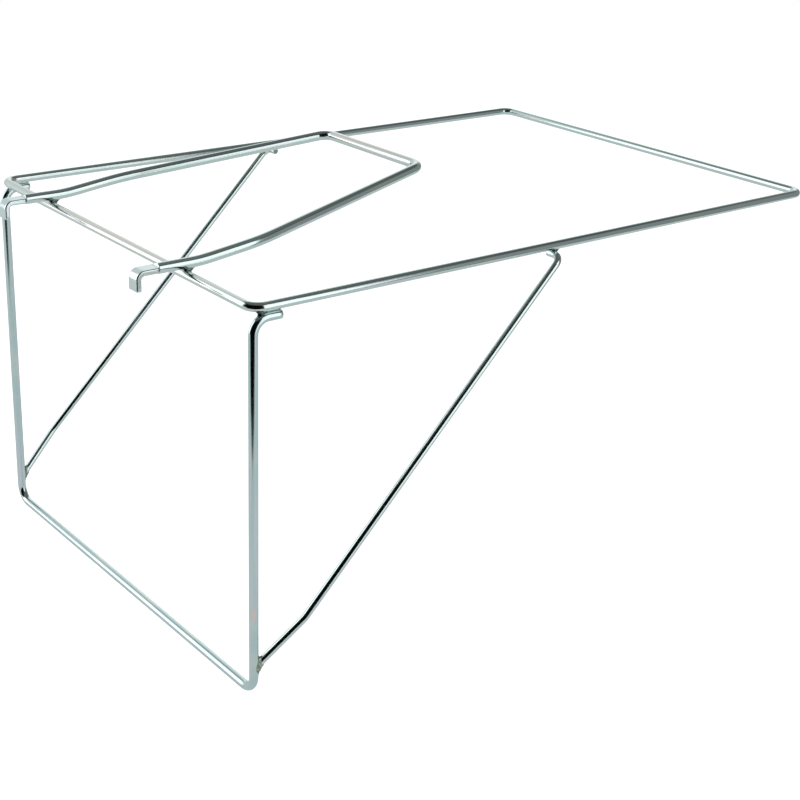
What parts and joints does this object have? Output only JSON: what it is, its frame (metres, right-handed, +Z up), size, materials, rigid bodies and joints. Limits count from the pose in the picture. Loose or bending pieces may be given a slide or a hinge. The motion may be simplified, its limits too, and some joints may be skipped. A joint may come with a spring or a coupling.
{
  "type": "wall-hung wire rack",
  "caption": "Open rack of bent round wire: a level rectangular ring on a leg frame with angled braces, hung by flat hooks over a rail, its bottom bar resting on the wall.",
  "frame": {"origin": "middle of the seat on the rail: midway between the two hooks, midway across the gap between the hooks' tabs and the back bar, at the underside of the flat straps", "axes": "+X out from the wall along the ring, +Y along the wall to the right of someone facing it, +Z up"},
  "size_m": [0.5245, 0.3536, 0.2925],
  "materials": {
    "zinc_plate": "bright zinc plate on smooth round steel wire, almost a mirror, with a faint cool tint",
    "weld_metal": "plated weld metal, rippled and a little duller than the wire, with a brownish edge"
  },
  "bodies": {
    "root": {"ring": "zinc_plate", "leg_frame": "zinc_plate", "brace_left": "zinc_plate", "brace_right": "zinc_plate", "hook_loop": "zinc_plate", "weld_hook_left": "weld_metal", "weld_hook_right": "weld_metal", "weld_leg_left": "weld_metal", "weld_leg_right": "weld_metal", "weld_brace_top_left": "weld_metal", "weld_brace_top_right": "weld_metal", "weld_brace_foot_left": "weld_metal", "weld_brace_foot_right": "weld_metal"}
  },
  "joints": []
}
